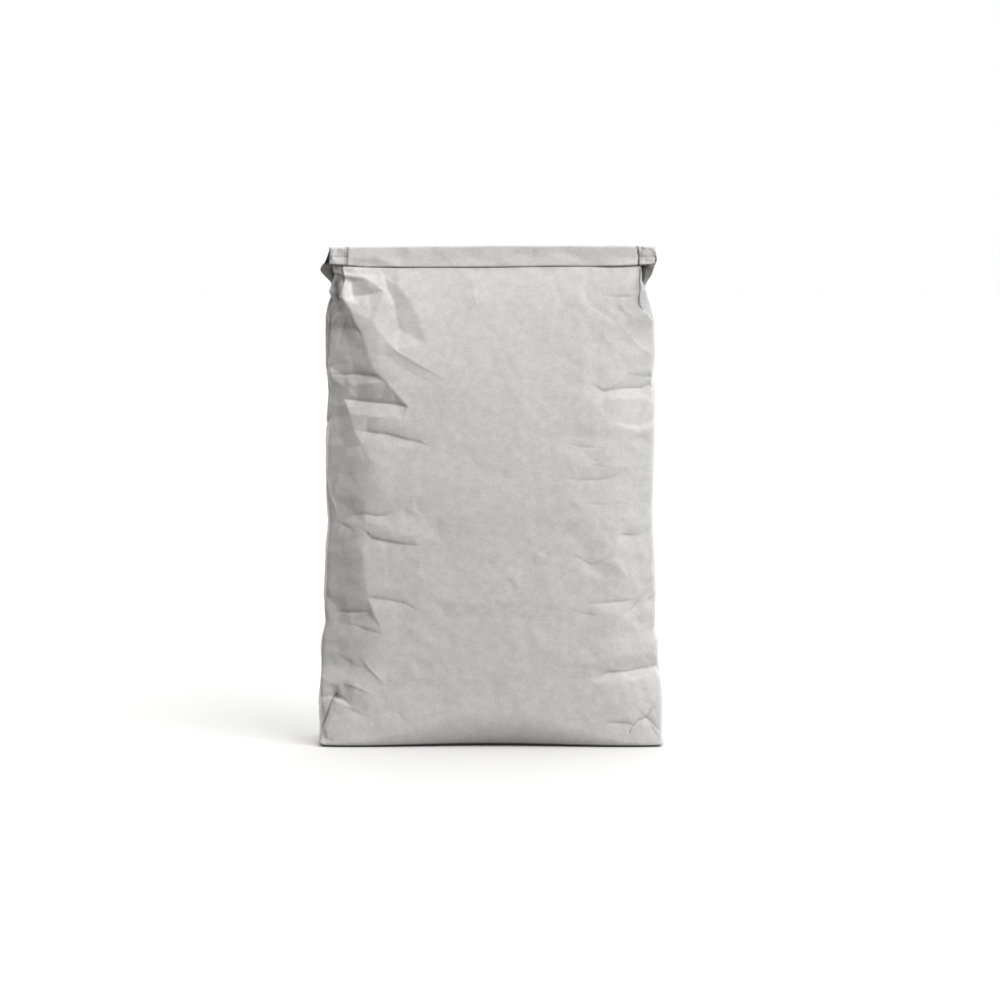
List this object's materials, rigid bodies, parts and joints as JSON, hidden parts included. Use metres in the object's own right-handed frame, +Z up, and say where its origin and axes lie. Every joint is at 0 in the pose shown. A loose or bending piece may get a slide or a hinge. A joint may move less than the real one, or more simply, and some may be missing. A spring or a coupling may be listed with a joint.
{
  "type": "cement bag",
  "caption": "Filled paper sack standing on a flat block bottom, with softly bulging sides, shoulders that close to a flat neck, and a top folded over forwards into a narrow band.",
  "frame": {"origin": "on the floor, under the middle of the bag's bounding box", "axes": "+Z up, -Y out of the front panel that carries the folded band, +X to the viewer's right"},
  "size_m": [0.42, 0.122, 0.609],
  "materials": {
    "kraft_paper": "matt",
    "cement_powder": "matt powder"
  },
  "bodies": {
    "root": {"paper_sack": "kraft_paper", "cement_fill": "cement_powder"}
  },
  "joints": []
}
